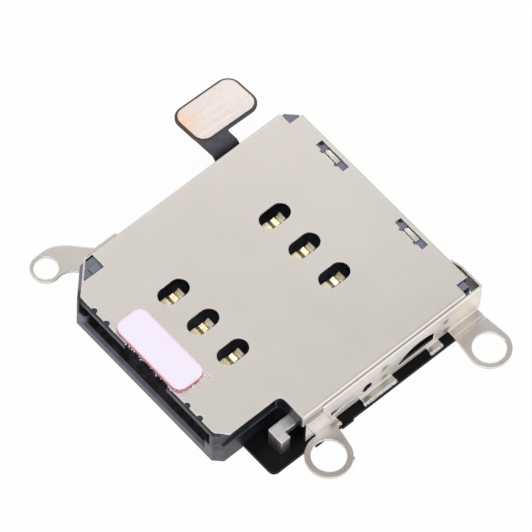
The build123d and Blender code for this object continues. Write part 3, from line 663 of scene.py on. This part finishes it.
paper_left = add_node(
    liner_paper, "ShaderNodeVectorMath", {"operation": "SUBTRACT"}, i0=liner_half, i1=(paper_far, 0)
)
paper_split = add_node(liner_paper, "ShaderNodeSeparateXYZ", i0=(paper_left, 0))
paper_near = add_node(
    liner_paper, "ShaderNodeMath", {"operation": "MINIMUM"}, i0=(paper_split, 0), i1=(paper_split, 1)
)
paper_fibre = add_node(
    liner_paper, "ShaderNodeTexNoise", Vector=(paper_place, "Object"), Scale=1 / (0.08 * mm), Detail=3.0
)
paper_edge = add_node(
    liner_paper, "ShaderNodeMath", {"operation": "MULTIPLY_ADD"}, i0=(paper_fibre, 0), i1=-0.12 * mm,
    i2=(paper_near, 0)
)
paper_rim = add_node(
    liner_paper, "ShaderNodeMapRange", i0=(paper_edge, 0), i1=-0.05 * mm, i2=0.09 * mm, i3=1.0, i4=0.0
)
paper_tone = ramp(liner_paper, paper_fibre, [(0.3, linear("#F4EBFB")), (0.7, linear("#FBF3FF"))])
paper_colour = add_node(
    liner_paper, "ShaderNodeMix", {"data_type": "RGBA"}, i0=(paper_rim, 0), i6=(paper_tone, 0),
    i7=linear("#F6DCE5")
)
paper_bump = add_node(
    liner_paper, "ShaderNodeBump", Strength=0.25, Distance=0.01 * mm, Height=(paper_fibre, 0)
)
paper_shader = add_node(
    liner_paper, "ShaderNodeBsdfPrincipled",
    **{"Base Color": (paper_colour, 2), "Normal": (paper_bump, 0)},
    Roughness=0.6
)
surface(liner_paper, paper_shader)
liner.data.materials.append(liner_paper)
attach(liner, "reader")
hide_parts("release_liner")

# Adhesive crumbs: torn bits of the tape, of several sizes, that lie round the pad. The first
# ones lie off its right end, the next behind it and the last ones before it.
crumb_count = 150
right_crumbs = 70
back_crumbs = 50
crumb_mm = (0.02, 0.06)
random.seed(7)
crumb_top = pad_low[2]
crumbs = []
for i in range(crumb_count):
    deselect()
    if i < right_crumbs:
        x = pad_high[0] + (random.uniform(0, 0.65) ** 1.5 - 0.05) * mm
        y = random.uniform(pad_low[1] + 0.2 * mm, pad_high[1] + 0.25 * mm)
    elif i < right_crumbs + back_crumbs:
        x = random.uniform(pad_low[0], pad_high[0])
        y = pad_high[1] + random.uniform(-0.02, 0.22) * mm
    else:
        x = random.uniform(pad_low[0], pad_high[0])
        y = pad_low[1] - random.uniform(-0.02, 0.10) * mm
    size = random.uniform(*crumb_mm) * mm
    bpy.ops.mesh.primitive_ico_sphere_add(
        subdivisions=2, radius=1, location=(x, y, crumb_top + size * 0.25)
    )
    crumb = bpy.context.object
    crumb.scale = (size, size * random.uniform(0.5, 1.0), size * 0.4)
    crumb.rotation_euler = (0, 0, random.uniform(0, 3.1))
    bpy.ops.object.transform_apply(location=True, rotation=True, scale=True)
    crumbs.append(crumb)
deselect()
for crumb in crumbs:
    crumb.select_set(True)
bpy.context.view_layer.objects.active = crumbs[0]
bpy.ops.object.join()
crumbs = bpy.context.object
crumbs.name = "adhesive_crumbs"
roughen(crumbs, grain_mm=0.05, strength_mm=0.02)
crumb_pink = new_material("torn_adhesive")
crumb_place = add_node(crumb_pink, "ShaderNodeTexCoord")
crumb_cloud = add_node(
    crumb_pink, "ShaderNodeTexNoise", Vector=(crumb_place, "Object"), Scale=1 / (0.25 * mm), Detail=2.0
)
crumb_colour = ramp(crumb_pink, crumb_cloud, [(0.4, linear("#F0D3D9")), (0.6, linear("#FCF6F8"))])
crumb_shader = add_node(
    crumb_pink, "ShaderNodeBsdfPrincipled", **{"Base Color": (crumb_colour, 0)}, Roughness=0.5
)
surface(crumb_pink, crumb_shader)
crumbs.data.materials.append(crumb_pink)
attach(crumbs, "reader")

# Latch tabs: the flattened tips of the two hooks that hold the cover's back edge down, one in
# each latch window. They are the cover's own sheet, with rounded edges.
tab_wide = 1.00
tab_deep = 0.32
tab_thick = 0.07
tab_y = 8.94
tab_level = 2.825
tab_edge = 0.025
for label, x in (("left", -3.34), ("right", 3.40)):
    deselect()
    bpy.ops.mesh.primitive_cube_add(
        size=1, location=(x * mm, tab_y * mm, tab_level * mm),
        scale=(tab_wide * mm, tab_deep * mm, tab_thick * mm)
    )
    tab = bpy.context.object
    tab.name = "latch_tab_" + label
    bpy.ops.object.transform_apply(location=True, rotation=True, scale=True)
    rounded_tab = tab.modifiers.new("pressed_edge", "BEVEL")
    rounded_tab.width = tab_edge * mm
    rounded_tab.segments = 3
    bpy.ops.object.modifier_apply(modifier=rounded_tab.name)
    bpy.ops.object.shade_smooth_by_angle(angle=0.6)
    tab.data.materials.append(cover_steel)
    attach(tab, "reader")

# Solder: a dull silver fillet along the outer edge of each bracket foot, frozen slightly rough, with
# painted shade in its low places.
board_level = 0.25
feet_mm = ((-1.42, 0.40), (1.78, 2.40), (6.05, 0.90))
solder_x = 8.90
solder_wide = 0.20
solder_high = 0.12
solder_metal = new_material("dull_tin_solder")
solder_place = add_node(solder_metal, "ShaderNodeTexCoord")
solder_grain = add_node(
    solder_metal, "ShaderNodeTexNoise", Vector=(solder_place, "Object"), Scale=1 / (0.07 * mm),
    Detail=4.0
)
# The grain that bumps the solder also darkens it where it is low: painted shade.
solder_colour = ramp(solder_metal, solder_grain, [(0.38, linear("#5E5A54")), (0.55, linear("#D6D4D0"))])
solder_bump = add_node(
    solder_metal, "ShaderNodeBump", Strength=0.8, Distance=0.02 * mm, Height=(solder_grain, 0)
)
solder_shader = add_node(
    solder_metal, "ShaderNodeBsdfPrincipled",
    **{"Base Color": (solder_colour, 0), "Normal": (solder_bump, 0)},
    Metallic=1.0, Roughness=0.38
)
surface(solder_metal, solder_shader)
for label, (y, wide) in zip(("front", "middle", "rear"), feet_mm):
    deselect()
    bpy.ops.mesh.primitive_cube_add(
        size=1, location=(solder_x * mm, y * mm, (board_level + solder_high / 2) * mm),
        scale=(solder_wide * mm, (wide + 0.10) * mm, solder_high * mm)
    )
    solder = bpy.context.object
    solder.name = "solder_" + label
    bpy.ops.object.transform_apply(location=True, rotation=True, scale=True)
    bpy.ops.object.mode_set(mode="EDIT")
    bpy.ops.mesh.select_mode(type="VERT")
    bpy.ops.mesh.select_all(action="DESELECT")
    bpy.ops.object.mode_set(mode="OBJECT")
    for corner in solder.data.vertices:
        corner.select = corner.co.x > solder_x * mm and corner.co.z > (board_level + solder_high / 2) * mm
    bpy.ops.object.mode_set(mode="EDIT")
    bpy.ops.transform.translate(value=(-0.13 * mm, 0, -0.01 * mm))
    bpy.ops.mesh.select_all(action="SELECT")
    bpy.ops.mesh.subdivide(number_cuts=3 if wide < 1 else 7)
    bpy.ops.object.mode_set(mode="OBJECT")
    melt = solder.modifiers.new("melt", "SUBSURF")
    melt.levels = 2
    melt.render_levels = 2
    bpy.ops.object.modifier_apply(modifier=melt.name)
    roughen(solder, grain_mm=0.12, strength_mm=0.05)
    bpy.ops.object.shade_smooth()
    solder.data.materials.append(solder_metal)
    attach(solder, "reader")
